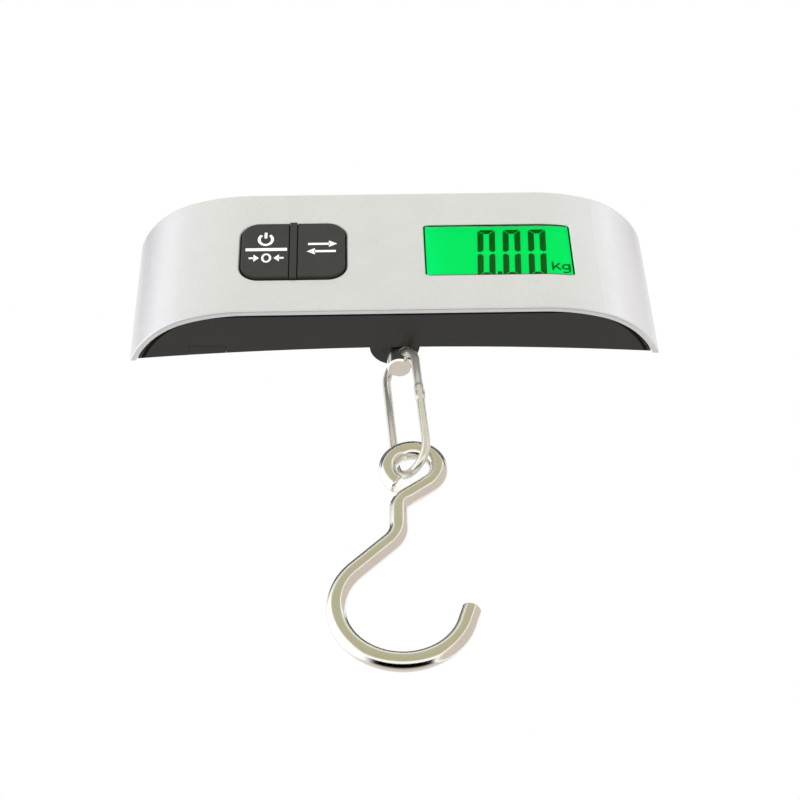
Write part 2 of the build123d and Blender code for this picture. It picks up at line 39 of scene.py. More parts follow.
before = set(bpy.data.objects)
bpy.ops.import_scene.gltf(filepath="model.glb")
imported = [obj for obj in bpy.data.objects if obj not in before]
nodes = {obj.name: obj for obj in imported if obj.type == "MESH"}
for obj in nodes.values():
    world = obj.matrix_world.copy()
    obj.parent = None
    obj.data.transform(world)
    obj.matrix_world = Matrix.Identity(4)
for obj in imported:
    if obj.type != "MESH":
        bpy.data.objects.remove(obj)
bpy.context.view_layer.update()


# ---------------------------------------------------------------- materials
class Look:
    """A Principled material with helpers for the nodes that feed it."""

    def __init__(self, name, **sockets):
        self.material = bpy.data.materials.new(name)
        self.material.use_nodes = True
        self.tree = self.material.node_tree
        self.shader = self.tree.nodes["Principled BSDF"]
        self.place = self.tree.nodes.new("ShaderNodeTexCoord").outputs["Object"]
        for socket, value in sockets.items():
            self.set(socket.replace("_", " "), value)

    def set(self, socket, value):
        self.shader.inputs[socket].default_value = value

    def feed(self, socket, source):
        self.tree.links.new(source, self.shader.inputs[socket])

    def add(self, kind, **values):
        made = self.tree.nodes.new(kind)
        for key, value in values.items():
            setattr(made, key, value)
        return made

    def stretched(self, x=1.0, y=1.0, z=1.0, turn=(0.0, 0.0, 0.0)):
        """Object coordinates scaled along each axis."""
        made = self.add("ShaderNodeMapping")
        made.inputs["Scale"].default_value = (x, y, z)
        made.inputs["Rotation"].default_value = turn
        self.tree.links.new(self.place, made.inputs["Vector"])
        return made.outputs["Vector"]

    def noise(self, size, detail=2.0, rough=0.5, place=None):
        """Noise whose blotches are about size millimetres across."""
        made = self.add("ShaderNodeTexNoise")
        made.inputs["Scale"].default_value = 1.0 / (size * MM)
        made.inputs["Detail"].default_value = detail
        made.inputs["Roughness"].default_value = rough
        self.tree.links.new(place or self.place, made.inputs["Vector"])
        return made.outputs["Fac"]

    def cells(self, size):
        """Cells about size millimetres across: (random colour, distance to the middle)."""
        made = self.add("ShaderNodeTexVoronoi")
        made.inputs["Scale"].default_value = 1.0 / (size * MM)
        self.tree.links.new(self.place, made.inputs["Vector"])
        return made.outputs["Color"], made.outputs["Distance"]

    def spread(self, source, low, high, start=0.0, end=1.0):
        """A number that runs from low to high as the source runs from start to end."""
        made = self.add("ShaderNodeMapRange")
        self.tree.links.new(source, made.inputs["Value"])
        for socket, value in (("From Min", start), ("From Max", end), ("To Min", low), ("To Max", high)):
            made.inputs[socket].default_value = value
        return made.outputs["Result"]

    def ramp(self, source, *stops):
        """Colour by stops of (position, (r, g, b))."""
        made = self.add("ShaderNodeValToRGB")
        self.tree.links.new(source, made.inputs["Fac"])
        elements = made.color_ramp.elements
        while len(elements) < len(stops):
            elements.new(0.5)
        for element, (position, colour) in zip(elements, stops):
            element.position = position
            element.color = (*colour, 1.0)
        return made.outputs["Color"]

    def plus(self, first, second, share=0.5):
        """Two numbers blended: share of the second."""
        made = self.add("ShaderNodeMix", data_type="FLOAT")
        made.inputs["Factor"].default_value = share
        self.tree.links.new(first, made.inputs["A"])
        self.tree.links.new(second, made.inputs["B"])
        return made.outputs["Result"]

    def bump(self, height, depth, strength=1.0):
        """Relief of the given depth in millimetres."""
        made = self.add("ShaderNodeBump")
        made.inputs["Distance"].default_value = depth * MM
        made.inputs["Strength"].default_value = strength
        self.tree.links.new(height, made.inputs["Height"])
        self.feed("Normal", made.outputs["Normal"])


def blend(colour, by):
    """The colour made lighter or darker by a factor."""
    return tuple(channel * by for channel in colour)


def silver_lacquer():
    look = Look("silver_lacquer", Metallic=0.55, Roughness=0.36)
    tint = (0.765, 0.768, 0.795)
    flakes, distance = look.cells(0.16)
    broad = look.noise(9.0, 3.0)
    fleck = look.add("ShaderNodeSeparateColor")
    look.tree.links.new(flakes, fleck.inputs["Color"])
    mixed = look.plus(fleck.outputs["Red"], broad, 0.45)
    shade = look.ramp(mixed, (0.15, blend(tint, 0.93)), (0.5, tint), (0.9, blend(tint, 1.06)))
    look.feed("Base Color", shade)
    look.feed("Roughness", look.spread(look.noise(1.3, 3.0), 0.31, 0.42, 0.3, 0.7))
    look.bump(look.plus(distance, look.noise(0.35, 2.0), 0.5), 0.006)
    return look.material


def moulded(name, colour, grain, roughness, depth=0.02, specular=0.5):
    """Spark-eroded plastic: fine grain, slightly uneven gloss."""
    look = Look(name, **{"Specular_IOR_Level": specular})
    fine = look.noise(grain, 3.0, 0.6)
    broad = look.noise(6.0, 3.0)
    mixed = look.plus(broad, fine, 0.4)
    look.feed("Base Color", look.ramp(mixed, (0.25, blend(colour, 0.82)), (0.75, blend(colour, 1.2))))
    gloss = look.plus(fine, broad, 0.4)
    look.feed("Roughness", look.spread(gloss, roughness - 0.06, roughness + 0.08, 0.3, 0.7))
    look.bump(fine, depth)
    return look.material


def metal(name, colour, roughness, streak=(1.0, 1.0, 1.0), streak_size=0.25, depth=0.002, wear=0.05,
          metallic=1.0):
    """Bare or plated metal with fine streaks and faint cloudiness."""
    look = Look(name, Metallic=metallic)
    fine = look.noise(streak_size, 3.0, 0.6, look.stretched(*streak))
    broad = look.noise(4.0, 2.0)
    dull, bright = blend(colour, 1.0 - wear), blend(colour, 1.0 + wear)
    look.feed("Base Color", look.ramp(look.plus(broad, fine, 0.35), (0.25, dull), (0.75, bright)))
    gloss = look.plus(fine, broad, 0.5)
    look.feed("Roughness", look.spread(gloss, roughness * 0.7, roughness * 1.4, 0.3, 0.7))
    look.bump(fine, depth)
    return look.material


def rubber(name, colour):
    look = Look(name, **{"Specular_IOR_Level": 0.35})
    fine = look.noise(0.12, 2.0)
    broad = look.noise(3.0, 3.0)
    mixed = look.plus(broad, fine, 0.3)
    look.feed("Base Color", look.ramp(mixed, (0.25, blend(colour, 0.9)), (0.75, blend(colour, 1.12))))
    look.feed("Roughness", look.spread(fine, 0.52, 0.66, 0.3, 0.7))
    look.bump(fine, 0.012)
    return look.material


def clear_lens():
    look = Look("clear_lens", IOR=1.1)
    look.set("Transmission Weight", 1.0)
    look.feed("Base Color", look.ramp(look.noise(8.0), (0.3, (0.96, 0.99, 0.97)), (0.7, (1.0, 1.0, 1.0))))
    look.feed("Roughness", look.spread(look.noise(2.5, 4.0), 0.0, 0.03, 0.45, 0.75))
    return look.material


def backlit_glass():
    """Green display glass, brightest beside the far end of its light guide."""
    look = Look("backlit_glass", Roughness=0.25)
    look.set("Specular IOR Level", 0.0)
    low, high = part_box("lcd_glass")
    split = look.add("ShaderNodeSeparateXYZ")
    look.tree.links.new(look.place, split.inputs["Vector"])
    along = look.spread(split.outputs["X"], 0.0, 1.0, low.x, high.x)
    cloudy = look.plus(along, look.noise(14.0, 2.0), 0.12)
    glow = look.ramp(cloudy, (0.04, (0.0, 0.95, 0.22)), (0.22, (0.0, 0.82, 0.13)),
                     (0.6, (0.0, 0.76, 0.105)), (0.95, (0.0, 0.84, 0.13)))
    look.feed("Emission Color", glow)
    look.feed("Base Color", look.ramp(cloudy, (0.0, (0.0, 0.02, 0.004)), (1.0, (0.0, 0.03, 0.006))))
    look.set("Emission Strength", 1.0)
    return look.material


def frosted(name, colour):
    look = Look(name)
    look.set("Transmission Weight", 0.4)
    distance = look.cells(0.7)[1]
    look.feed("Base Color", look.ramp(distance, (0.0, blend(colour, 0.85)), (0.6, colour)))
    look.feed("Roughness", look.spread(distance, 0.2, 0.5))
    look.bump(distance, 0.03)
    return look.material


def printed_board():
    """Green solder resist over copper tracks."""
    look = Look("printed_board", **{"Coat_Weight": 0.3})
    tracks = look.add("ShaderNodeTexBrick")
    look.tree.links.new(look.stretched(1.0, 1.0, 1.0, (math.pi / 2, 0.0, 0.0)), tracks.inputs["Vector"])
    tracks.inputs["Scale"].default_value = 160.0
    tracks.inputs["Mortar Size"].default_value = 0.06
    tracks.inputs["Color1"].default_value = (0.010, 0.085, 0.030, 1.0)
    tracks.inputs["Color2"].default_value = (0.014, 0.110, 0.040, 1.0)
    tracks.inputs["Mortar"].default_value = (0.030, 0.220, 0.070, 1.0)
    look.feed("Base Color", tracks.outputs["Color"])
    look.feed("Roughness", look.spread(look.noise(2.0, 3.0), 0.22, 0.4))
    look.bump(look.plus(tracks.outputs["Fac"], look.noise(0.3), 0.25), 0.03)
    return look.material


def ink(name, colour, roughness=0.5, specular=0.3, wear=0.08):
    """Printed or etched layer, slightly uneven; also used for black painted shade."""
    look = Look(name, **{"Specular_IOR_Level": specular})
    blotches = look.noise(0.5, 4.0, 0.6)
    look.feed("Base Color", look.ramp(blotches, (0.3, blend(colour, 1.0 - wear)), (0.6, colour)))
    look.feed("Roughness", look.spread(blotches, roughness - 0.08, roughness + 0.08, 0.3, 0.7))
    return look.material


def segment_ink():
    """Dark green segments of the display: light still comes through them."""
    look = Look("segment_ink", Roughness=0.5)
    look.set("Specular IOR Level", 0.1)
    cloudy = look.noise(1.5, 3.0)
    shade = look.ramp(cloudy, (0.3, (0.0, 0.068, 0.0)), (0.7, (0.0, 0.105, 0.004)))
    look.feed("Emission Color", shade)
    look.feed("Base Color", look.ramp(cloudy, (0.0, (0.0, 0.004, 0.0)), (1.0, (0.0, 0.008, 0.0))))
    look.set("Emission Strength", 0.9)
    return look.material


def surround_rubber_gap_shade():
    """Grey like the keys on its rib, darkened with painted shade deeper in the gap round them."""
    look = Look("surround_rubber_gap_shade", Roughness=0.6)
    look.set("Specular IOR Level", 0.3)
    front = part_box("key_surround")[0].y
    split = look.add("ShaderNodeSeparateXYZ")
    look.tree.links.new(look.place, split.inputs["Vector"])
    # painted shade: the rubber runs from grey at its front to black 1.2 mm deeper, where the gap is in shade
    depth = look.spread(split.outputs["Y"], 0.0, 1.0, front, front + 1.2 * MM)
    shade = look.plus(depth, look.noise(0.3, 2.0), 0.08)
    look.feed("Base Color", look.ramp(shade, (0.3, (0.032, 0.033, 0.030)), (0.5, (0.006, 0.006, 0.006))))
    look.bump(look.noise(0.12, 2.0), 0.012)
    return look.material


NICKEL = metal("nickel_plate", (0.86, 0.845, 0.80), 0.14, streak_size=0.5, depth=0.0012, wear=0.04)
SATIN_NICKEL = metal("satin_nickel", (0.80, 0.785, 0.72), 0.20, streak_size=0.4, wear=0.06,
                     metallic=0.7)
PRINT = ink("white_print", (0.86, 0.87, 0.84))
SEGMENTS = segment_ink()
# painted shade: black material for the painted shadows round the lens and in the gap under the housing
SHADE_BLACK = ink("painted_shade_black", (0.004, 0.004, 0.004), specular=0.1)
LOOKS = {
    "silver_cover": silver_lacquer(),
    "black_plastic": moulded("black_plastic_fine", (0.018, 0.018, 0.0165), 0.16, 0.40),
    "dark_plastic": moulded("dark_plastic_plain", (0.010, 0.010, 0.010), 0.3, 0.45, 0.01),
    "key_rubber": rubber("key_rubber_matt", (0.032, 0.033, 0.030)),
    "dark_rubber": rubber("connector_rubber", (0.05, 0.05, 0.055)),
    "lens": clear_lens(),
    "lcd": backlit_glass(),
    "light_guide": frosted("dotted_acrylic", (0.85, 0.95, 0.86)),
    "white_plastic": moulded("white_plastic_gloss", (0.78, 0.78, 0.74), 0.5, 0.3, 0.005),
    "board": printed_board(),
    "chip_parts": moulded("ceramic_parts", (0.40, 0.33, 0.25), 0.2, 0.5, 0.01),
    "steel": metal("zinc_steel", (0.66, 0.66, 0.66), 0.24, (1.0, 1.0, 8.0), 0.4, 0.004),
    "aluminium": metal("milled_aluminium", (0.80, 0.80, 0.81), 0.3, (0.15, 6.0, 6.0), 0.5, 0.006),
    "gauge_foil": moulded("amber_film", (0.50, 0.28, 0.07), 0.2, 0.35, 0.004),
    "wire_red": moulded("red_insulation", (0.45, 0.03, 0.025), 0.3, 0.4, 0.01),
    "nickel": NICKEL,
}
for node in nodes.values():
    for holder in node.material_slots:
        holder.material = LOOKS[holder.material.name]
nodes["key_surround"].material_slots[0].material = surround_rubber_gap_shade()


# ------------------------------------------------------------------- meshes
def mesh_piece(name, points, faces, material, body, slot=None, smooth=True):
    """A mesh from points in millimetres, riding on a CAD body."""
    mesh = bpy.data.meshes.new(name)
    mesh.from_pydata([Vector(p) * MM for p in points], [], faces)
    mesh.validate()
    mesh.polygons.foreach_set("use_smooth", [smooth] * len(mesh.polygons))
    mesh.materials.append(material)
    piece = bpy.data.objects.new(name, mesh)
    bpy.context.scene.collection.objects.link(piece)
    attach(piece, body)
    return piece


def prism(outline, y, thick):
    """Points and faces of a flat outline (x, z) made solid from y to y + thick."""
    count = len(outline)
    points = [(x, y, z) for x, z in outline] + [(x, y + thick, z) for x, z in outline]
    faces = [tuple(range(count)), tuple(reversed(range(count, 2 * count)))]
    for i in range(count):
        j = (i + 1) % count
        faces.append((i, i + count, j + count, j))
    return points, faces


def strip(path, width, closed=False):
    """Outline pieces of a stroke along a flat path, one quad for each step."""
    left, right = [], []
    count = len(path)
    for i, (x, z) in enumerate(path):
        before = path[(i - 1) % count] if closed or i else path[i]
        after = path[(i + 1) % count] if closed or i < count - 1 else path[i]
        way = (Vector(after) - Vector(before)).normalized()
        side = Vector((-way.y, way.x)) * width / 2
        left.append((x + side.x, z + side.y))
        right.append((x - side.x, z - side.y))
    return left, right


def stroke(path, width, y, thick, closed=False):
    """Points and faces of a flat ribbon with square sides along a path of (x, z)."""
    left, right = strip(path, width, closed)
    count = len(path)
    points = []
    for depth in (y, y + thick):
        points += [(x, depth, z) for x, z in left] + [(x, depth, z) for x, z in right]
    faces = []
    for i in range(count if closed else count - 1):
        j = (i + 1) % count
        a, b, c, d = i, j, count + j, count + i
        faces.append((a, b, c, d))
        faces.append(tuple(2 * count + k for k in (d, c, b, a)))
        faces.append((b, a, 2 * count + a, 2 * count + b))
        faces.append((d, c, 2 * count + c, 2 * count + d))
    if not closed:
        for i in (0, count - 1):
            faces.append((i, count + i, 3 * count + i, 2 * count + i))
    return points, faces


def arc(centre, radius, start, end, steps=24, squash=1.0):
    """Points along an arc, angles in degrees from +X towards +Z."""
    made = []
    for i in range(steps + 1):
        angle = math.radians(start + (end - start) * i / steps)
        made.append((centre[0] + radius * math.cos(angle), centre[1] + squash * radius * math.sin(angle)))
    return made


def join(*solids):
    """Several (points, faces) as one."""
    points, faces = [], []
    for more_points, more_faces in solids:
        base = len(points)
        points += more_points
        faces += [tuple(base + i for i in face) for face in more_faces]
    return points, faces


# ------------------------------------------------------------------ display
LCD_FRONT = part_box("lcd_glass")[0].y / MM
INK_THICK = 0.03
SEGMENT_Y = LCD_FRONT - INK_THICK - 0.005
DIGITS_X = (21.3, 27.6, 33.9)
DIGIT_TOP = 10.85
DIGIT_WIDTH = 4.4
DIGIT_HEIGHT = 17.2
STROKE = 1.5
MITRE = 0.14            # half the slit cut across each mitred corner
CORNER = 0.7            # rounding of the outer corners
SLANT = 0.05            # sideways shift for each millimetre down
BAR_GAP = 0.28          # from the middle of the digit to the upright segments
BAR_POINT = 0.75        # how far the inner corner of that end is cut back
BAR_SHOULDER = 0.45     # the same for the outer corner


def digit_zero(x0):
    """Six mitred segments of a zero, its middle bar unlit."""
    x1, top, low = x0 + DIGIT_WIDTH, DIGIT_TOP, DIGIT_TOP - DIGIT_HEIGHT
    middle = (top + low) / 2
    solids = []
    for outer, way in ((x0, 1), (x1, -1)):
        for end, up in ((top, -1), (low, 1)):
            corner = [(outer + way * CORNER * (1 - math.cos(a)), end + up * CORNER * (1 - math.sin(a)))
                      for a in (math.radians(d) for d in (0, 22, 45))]
            inner = outer + way * STROKE
            near = middle - up * BAR_GAP
            shape = [(x, z + up * MITRE) for x, z in corner]
            shape += [(inner, end + up * (STROKE + MITRE)), (inner, near - up * BAR_POINT),
                      (outer + way * STROKE * 0.45, near), (outer, near - up * BAR_SHOULDER)]
            solids.append(prism(shape, SEGMENT_Y, INK_THICK))
    for end, up in ((top, -1), (low, 1)):
        left = [(x0 + CORNER * (1 - math.cos(a)) + MITRE, end + up * CORNER * (1 - math.sin(a)))
                for a in (math.radians(d) for d in (45, 68, 90))]
        right = [(x0 + x1 - x, z) for x, z in reversed(left)]
        inner = [(x1 - STROKE - MITRE, end + up * STROKE), (x0 + STROKE + MITRE, end + up * STROKE)]
        solids.append(prism(left + right + inner, SEGMENT_Y, INK_THICK))
    points, faces = join(*solids)
    return [(x + SLANT * (z - DIGIT_TOP), y, z) for x, y, z in points], faces


def kilogram_sign(x, z, height):
    """The unit sign beside the digits, drawn in single strokes."""
    width = 0.45
    bowl = 0.21 * height
    strokes = [[(x, z), (x, z + height * 0.75)],
               [(x + 0.1, z + 0.2 * height), (x + 1.7, z + 0.6 * height)],
               [(x + 0.65, z + 0.36 * height), (x + 1.9, z)]]
    gx = x + 3.2
    ring = arc((gx, z + 0.25 * height), bowl, 0, 345, 20, 0.95)
    tail = [(gx + bowl, z + 0.5 * height), (gx + bowl, z - 0.12 * height)]
    tail += arc((gx, z - 0.12 * height), bowl, 0, -150, 10, 0.7)[1:]
    made = [stroke(path, width, SEGMENT_Y, INK_THICK) for path in strokes + [tail]]
    made.append(stroke(ring, width, SEGMENT_Y, INK_THICK))
    return join(*made)


for place, left_edge in enumerate(DIGITS_X, 1):
    mesh_piece(f"display_digit_{place}", *digit_zero(left_edge), SEGMENTS, "case", "lcd", smooth=False)
POINT_AT = (26.0, DIGIT_TOP - DIGIT_HEIGHT + 1.3)
POINT_HALF = (0.55, 0.5)
UNIT_AT = (39.1, -4.3)
UNIT_HEIGHT = 4.0
point = [(POINT_AT[0] + right * POINT_HALF[0], POINT_AT[1] + up * POINT_HALF[1])
         for right, up in ((-1, -1), (1, -1), (1, 1), (-1, 1))]
mesh_piece("display_point", *prism(point, SEGMENT_Y, INK_THICK), SEGMENTS, "case", "lcd", smooth=False)


def lens_face(x):
    """Front of the lens: flat, then rolled away towards the display end."""
    past = max(0.0, x - LENS_FLAT_END)
    return LENS_FRONT + LENS_BEND - math.sqrt(LENS_BEND ** 2 - past ** 2)


def lens_border_painted_shade():
    """Thin black line round the edge of the lens: a painted shadow of the window's rim."""
    (x0, z0), (x1, z1) = BORDER_LOW, BORDER_HIGH
    steps = 24
    along = [x0 + (x1 - x0) * i / steps for i in range(steps + 1)]
    path = [(x, z0) for x in along] + [(x, z1) for x in reversed(along)]
    points, faces = stroke(path, BORDER_WIDTH, 0.0, INK_THICK, closed=True)
    return [(x, lens_face(x) - INK_THICK + y, z) for x, y, z in points], faces


LENS_LOW, LENS_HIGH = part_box("display_lens")
LENS_FRONT = LENS_LOW.y / MM
LENS_FLAT_END = 35.4
LENS_BEND = 46.6
BORDER_WIDTH = 0.4
BORDER_LOW = (LENS_LOW.x / MM + 0.25, LENS_LOW.z / MM + 0.15)
BORDER_HIGH = (LENS_HIGH.x / MM - 0.25, LENS_HIGH.z / MM - 0.25)
# painted shadow: a black line round the lens where the window's rim is in shade
mesh_piece("lens_border_painted_shade", *lens_border_painted_shade(), SHADE_BLACK, "case", smooth=False)
mesh_piece("display_unit", *kilogram_sign(*UNIT_AT, UNIT_HEIGHT), SEGMENTS, "case", "lcd", smooth=False)


# ------------------------------------------------ painted shadow in the gap round the cover
GAP_WIDTH = 0.8
GAP_THICK = 0.03
GAP_BELOW = 0.02        # how far it lies under the housing's bottom face
INNER_FLAT = 41.4       # half the flat length of the cover's inner wall
INNER_RADIUS = 21.4
ARC_MIDDLE_Y = 7.0
ARC_SPAN = 68           # degrees of each end that the ribbon follows


def painted_gap_shadow():
    """Dark ribbon under the housing where it meets the cover's inner wall: a painted shadow in the gap."""
    radius = INNER_RADIUS - GAP_WIDTH / 2
    path = arc((-INNER_FLAT, ARC_MIDDLE_Y), radius, 270 - ARC_SPAN, 270, 40)
    path += arc((INNER_FLAT, ARC_MIDDLE_Y), radius, 270, 270 + ARC_SPAN, 40)
    points, faces = stroke(path, GAP_WIDTH, 0.0, GAP_THICK)
    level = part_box("rear_housing")[0].z / MM - GAP_BELOW
    return [(x, z, level + y) for x, y, z in points], faces


# painted shadow: a black ribbon laid in the gap between the cover and the housing
mesh_piece("painted_gap_shadow", *painted_gap_shadow(), SHADE_BLACK, "case", smooth=False)


# --------------------------------------------------------- print on the keys
PRINT_THICK = 0.04
POWER_AT = (-31.15, 3.55)
BAR_X = (-36.0, -25.9)
BAR_Z = -0.15
ZERO_AT = (-30.9, -3.25)
ARROWS_AT = (-17.4, 0.35)
ARROW_REACH = 3.4       # half the length of an arrow's shaft
ARROW_APART = 1.35      # each arrow's height above or below the middle


def key_front(node):
    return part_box(node)[0].y / MM - PRINT_THICK + 0.005


def power_icon(y):
    """Ring open at the top with a bar standing in the opening."""
    ring = arc(POWER_AT, 1.62, 128, 412, 40, 1.22)
    stem = [(POWER_AT[0], POWER_AT[1] + 0.45), (POWER_AT[0], POWER_AT[1] + 2.55)]
    return join(stroke(ring, 0.72, y, PRINT_THICK), stroke(stem, 0.68, y, PRINT_THICK))


def zero_icon(y):
    """Two arrowheads closing on a small round zero: set the reading to nought."""
    x, z = ZERO_AT
    ring = arc((x, z), 0.95, 0, 360, 30, 1.45)[:-1]
    solids = [stroke(ring, 0.55, y, PRINT_THICK, closed=True)]
    for side in (-1, 1):
        tip = x + side * 1.75
        head = [(tip, z), (tip + side * 1.35, z + 1.25), (tip + side * 1.35, z - 1.25)]
        solids.append(prism(head if side > 0 else head[::-1], y, PRINT_THICK))
        solids.append(stroke([(tip + side * 1.2, z), (tip + side * 2.5, z)], 0.6, y, PRINT_THICK))
    return join(*solids)


def exchange_icon(y):
    """Two opposite arrows: change the unit."""
    x, z = ARROWS_AT
    solids = []
    for side in (-1, 1):
        level = z + side * ARROW_APART
        shaft = [(x - side * ARROW_REACH, level), (x + side * (ARROW_REACH - 1.5), level)]
        solids.append(stroke(shaft, 0.75, y, PRINT_THICK))
        tip = x + side * (ARROW_REACH + 0.3)
        head = [(tip, level), (tip - side * 2.0, level + 1.15), (tip - side * 2.0, level - 1.15)]
        solids.append(prism(head, y, PRINT_THICK))
    return join(*solids)


power_front = key_front("power_key")
unit_front = key_front("unit_key")
mesh_piece("power_print", *power_icon(power_front), PRINT, "power_key", smooth=False)
bar = [(BAR_X[0], BAR_Z), (BAR_X[1], BAR_Z)]
mesh_piece("divider_print", *stroke(bar, 1.05, power_front, PRINT_THICK), PRINT, "power_key", smooth=False)
mesh_piece("zero_print", *zero_icon(power_front), PRINT, "power_key", smooth=False)
mesh_piece("unit_print", *exchange_icon(unit_front), PRINT, "unit_key", smooth=False)


# ------------------------------------------------------------- hook and link
ROUND = 48
STEP = 0.35


class Wire:
    """Centre line of a bent wire in a plane, walked from one end."""

    def __init__(self, at, heading):
        self.points = [Vector(at)]
        self.way = Vector((math.cos(heading), math.sin(heading)))
        self.ways = [self.way.copy()]

    def straight(self, length):
        count = max(1, round(length / STEP))
        for _ in range(count):
            self.points.append(self.points[-1] + self.way * (length / count))
            self.ways.append(self.way.copy())

    def bend(self, radius, degrees):
        """Turn to the left for positive degrees."""
        angle = math.radians(degrees)
        count = max(4, round(abs(angle) * radius / STEP))
        turn = angle / count
        for _ in range(count):
            middle = Matrix.Rotation(turn / 2, 2) @ self.way
            chord = 2 * radius * math.sin(abs(turn) / 2)
            self.points.append(self.points[-1] + middle * chord)
            self.way = Matrix.Rotation(turn, 2) @ self.way
            self.ways.append(self.way.copy())


def tube(wire, radius, place, closed=False, shape=None, rim=0.0):
    """Skin of a bent wire.  shape(s, angle) changes the radius, s in millimetres along."""
    rings = []
    walked = 0.0
    total = sum((b - a).length for a, b in zip(wire.points, wire.points[1:]))
    stations = []
    for i, (point, way) in enumerate(zip(wire.points, wire.ways)):
        if i:
            walked += (point - wire.points[i - 1]).length
        if rim and not closed and (walked < rim or walked > total - rim):
            continue
        stations.append((point, way, walked, radius))
    if rim:
        ends = []
        for side, at, way in ((-1, wire.points[0], wire.ways[0]), (1, wire.points[-1], wire.ways[-1])):
            curl = []
            for k in range(9):
                a = math.radians(90 * k / 8)
                back = rim * (1 - math.sin(a))
                smaller = radius - rim * (1 - math.cos(a))
                curl.append((at - way * side * back, way, total if side > 0 else 0.0, smaller))
            curl.append((at, way, total if side > 0 else 0.0, (radius - rim) * 0.5))
            ends.append(curl)
        stations = list(reversed(ends[0])) + stations + ends[1]
    for point, way, s, local in stations:
        side = Vector((-way.y, way.x))
        ring = []
        for k in range(ROUND):
            angle = 2 * math.pi * k / ROUND
            r = local + (shape(s, angle) if shape else 0.0)
            flat = point + side * (r * math.cos(angle))
            ring.append(place(flat.x, r * math.sin(angle), flat.y))
        rings.append(ring)
    points = [p for ring in rings for p in ring]
    faces = []
    count = len(rings)
    for i in range(count if closed else count - 1):
        j = (i + 1) % count
        for k in range(ROUND):
            m = (k + 1) % ROUND
            faces.append((i * ROUND + k, i * ROUND + m, j * ROUND + m, j * ROUND + k))
    if not closed:
        for i, way in ((0, -1), (count - 1, 1)):
            middle = len(points)
            ring = rings[i]
            points.append(sum((Vector(p) for p in ring), Vector()) / ROUND)
            for k in range(ROUND):
                m = (k + 1) % ROUND
                faces.append((middle, i * ROUND + k, i * ROUND + m)[::way])
    return points, faces


# The hook: an eye, a double bend for a neck, and a round bow.
BODY_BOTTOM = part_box("front_cover")[0].z / MM
ROD_X = 1.0
ROD_Y = 0.6
HOOK_R = 2.19
EYE_AT = (3.25, BODY_BOTTOM - 36.1)
EYE_BEND = 5.8
EYE_START = 234.0
EYE_END = -53.0
NECK = ((6.6, 0), (4.6, 52), (4.8, 0), (6.5, -44), (11.1, 0))
BOW_BEND = 14.25
BOW_TURN = 207.0
TIP_RUN = 4.0
TIP_RIM = 0.6
CREASE_AT = 34.2
CREASES = (-0.9, 0.0, 1.0)
CREASE_WIDE = 0.28
CREASE_DEEP = 0.11
CREASE_TURN = math.radians(25)


def hook_wire():
    start = math.radians(EYE_START)
    at = (EYE_AT[0] + EYE_BEND * math.cos(start), EYE_AT[1] + EYE_BEND * math.sin(start))
    wire = Wire(at, start - math.pi / 2)
    wire.bend(EYE_BEND, EYE_END - EYE_START)
    for size, turn in NECK:
        if turn:
            wire.bend(size, turn)
        else:
            wire.straight(size)
    wire.bend(BOW_BEND, BOW_TURN)
    wire.straight(TIP_RUN)
    return wire


def hook_shape(s, angle):
    """Creases pressed into the inside of the neck's first bend."""
    facing = max(0.0, math.cos(angle - CREASE_TURN))
    change = 0.0
    for offset in CREASES:
        near = (s - CREASE_AT - offset) / CREASE_WIDE
        change -= CREASE_DEEP * math.exp(-near * near) * facing ** 4
    return change


def hook_place(x, y, z):
    return x, ROD_Y + y, z


hook_skin = tube(hook_wire(), HOOK_R, hook_place, shape=hook_shape, rim=TIP_RIM)
hook = mesh_piece("hook_wire", *hook_skin, NICKEL, "hook", "nickel")
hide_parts("hook")

# The link: an oval ring of thinner wire, hung in the rod's cross hole.
LINK_R = 1.05
LINK_HALF = 5.35
LINK_LENGTH = 36.9
LINK_TURN = math.radians(-50)
LINK_LEAN = math.radians(3.5)
HOLE_Z = BODY_BOTTOM - 0.35
LINK_TOP = BODY_BOTTOM + 0.25 - HOLE_Z
WELD = (8.5, 13.3)
WELD_SWELL = 0.28
# Each pit: distance along the wire, turn round it in radians, width, depth.
WELD_PITS = ((9.6, 0.5, 0.35, 0.22), (11.6, -0.5, 0.3, 0.2), (14.2, -0.9, 0.3, 0.14))


def link_place(x, y, z):
    """From the link's own plane to its place in the rod's hole."""
    turned = Matrix.Rotation(-LINK_LEAN, 3, "Y") @ (Matrix.Rotation(LINK_TURN, 3, "Z") @ Vector((x, y, z)))
    return turned + Vector((ROD_X, ROD_Y, HOLE_Z))


def link_wire():
    straight = LINK_LENGTH - 2 * LINK_HALF
    wire = Wire((LINK_HALF, LINK_TOP - LINK_HALF), -math.pi / 2)
    wire.straight(straight)
    wire.bend(LINK_HALF, -180)
    wire.straight(straight)
    wire.bend(LINK_HALF, -180)
    wire.points.pop()
    wire.ways.pop()
    return wire


def weld_shape(s, angle):
    """A ground butt weld: a low swelling with a few pits."""
    inside = min(1.0, max(0.0, (s - WELD[0]) / 0.7)) * min(1.0, max(0.0, (WELD[1] - s) / 0.7))
    lumps = 0.72 + 0.14 * math.sin(3 * angle + s) + 0.14 * math.sin(2.1 * s + 5 * angle)
    swell = WELD_SWELL * inside * lumps
    for at, turn, wide, deep in WELD_PITS:
        away = math.hypot((s - at) / wide, math.sin((angle - turn - math.pi) / 2) * 2 * LINK_R / wide)
        swell -= deep * math.exp(-away * away)
    return swell


link_skin = tube(link_wire(), LINK_R, link_place, closed=True, shape=weld_shape)
link = mesh_piece("link_ring", *link_skin, SATIN_NICKEL, "link", "nickel")
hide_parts("link")


